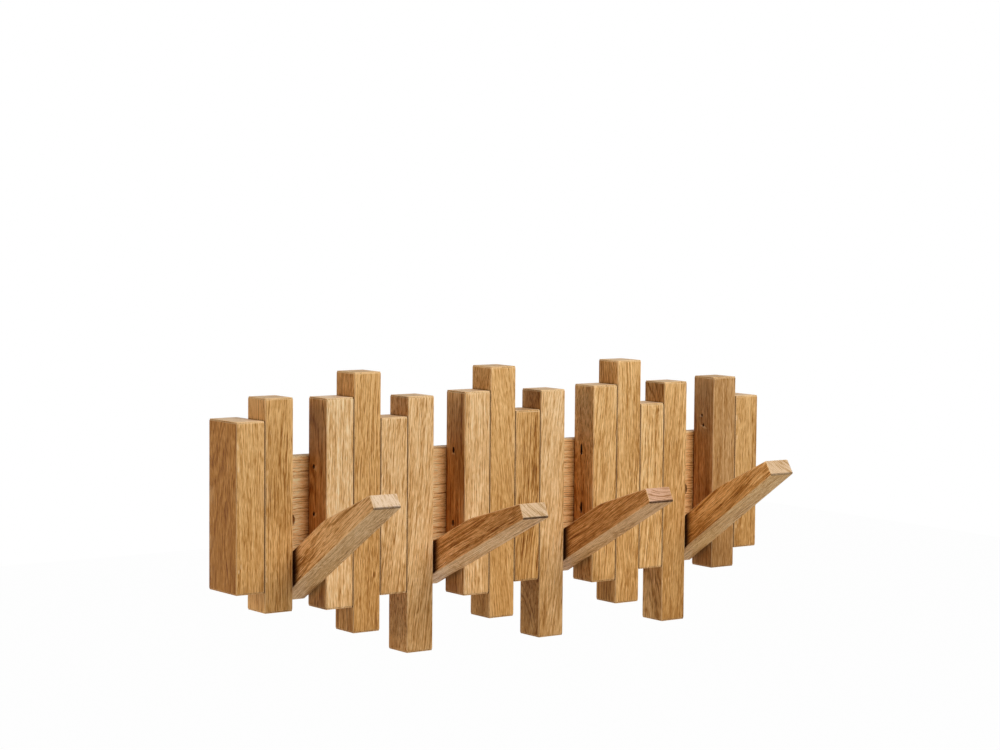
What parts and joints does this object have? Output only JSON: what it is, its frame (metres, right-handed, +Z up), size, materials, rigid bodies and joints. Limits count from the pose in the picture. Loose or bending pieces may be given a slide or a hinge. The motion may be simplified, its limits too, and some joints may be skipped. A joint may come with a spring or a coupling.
{
  "type": "wall coat rack",
  "caption": "Wall coat rack of square upright wooden sticks at uneven heights on a backboard, with wooden hooks in the row that fold out on pivot pins.",
  "frame": {"origin": "centre of the backboard's wall face", "axes": "+X along the row, towards the viewer's right; +Y into the wall, so the rack faces -Y; +Z up"},
  "size_m": [0.5164, 0.1555, 0.2229],
  "materials": {
    "oak_board": "oiled oak, long grain",
    "oak_stick": "oiled oak, satin",
    "oak_hook": "oiled oak, satin",
    "beech_dowel": "unfinished beech",
    "steel_pin": "bright steel",
    "zinc_screw": "zinc plated",
    "nylon_spacer": "black nylon"
  },
  "bodies": {
    "row": {"backboard": "oak_board", "end_stick_left": "oak_stick", "end_stick_right": "oak_stick", "stick_02": "oak_stick", "stick_04": "oak_stick", "stick_05": "oak_stick", "stick_06": "oak_stick", "stick_07": "oak_stick", "stick_09": "oak_stick", "stick_10": "oak_stick", "stick_11": "oak_stick", "stick_12": "oak_stick", "stick_14": "oak_stick", "stick_15": "oak_stick", "stick_16": "oak_stick", "stick_17": "oak_stick", "stick_19": "oak_stick", "screw_02": "zinc_screw", "screw_04": "zinc_screw", "screw_05": "zinc_screw", "screw_06": "zinc_screw", "screw_07": "zinc_screw", "screw_09": "zinc_screw", "screw_10": "zinc_screw", "screw_11": "zinc_screw", "screw_12": "zinc_screw", "screw_14": "zinc_screw", "screw_15": "zinc_screw", "screw_16": "zinc_screw", "screw_17": "zinc_screw", "screw_19": "zinc_screw", "dowel_left_lower": "beech_dowel", "dowel_left_upper": "beech_dowel", "dowel_right_lower": "beech_dowel", "dowel_right_upper": "beech_dowel", "pivot_pin_1": "steel_pin", "pivot_pin_2": "steel_pin", "pivot_pin_3": "steel_pin", "pivot_pin_4": "steel_pin", "spacer_1_left": "nylon_spacer", "spacer_1_right": "nylon_spacer", "spacer_2_left": "nylon_spacer", "spacer_2_right": "nylon_spacer", "spacer_3_left": "nylon_spacer", "spacer_3_right": "nylon_spacer", "spacer_4_left": "nylon_spacer", "spacer_4_right": "nylon_spacer"},
    "hook_1": {"hook_1": "oak_hook"},
    "hook_2": {"hook_2": "oak_hook"},
    "hook_3": {"hook_3": "oak_hook"},
    "hook_4": {"hook_4": "oak_hook"}
  },
  "joints": [
    {"name": "hook_1_fold", "type": "hinge", "parent": "row", "child": "hook_1", "pos_m": [-0.19387, -0.02915, -0.0386], "axis": [-1, 0, 0], "range_deg": [0, 57.5]},
    {"name": "hook_2_fold", "type": "hinge", "parent": "row", "child": "hook_2", "pos_m": [-0.06463, -0.02915, -0.0386], "axis": [-1, 0, 0], "range_deg": [0, 64.8]},
    {"name": "hook_3_fold", "type": "hinge", "parent": "row", "child": "hook_3", "pos_m": [0.06463, -0.02915, -0.0386], "axis": [-1, 0, 0], "range_deg": [0, 62]},
    {"name": "hook_4_fold", "type": "hinge", "parent": "row", "child": "hook_4", "pos_m": [0.19387, -0.02915, -0.0386], "axis": [-1, 0, 0], "range_deg": [0, 56]}
  ]
}
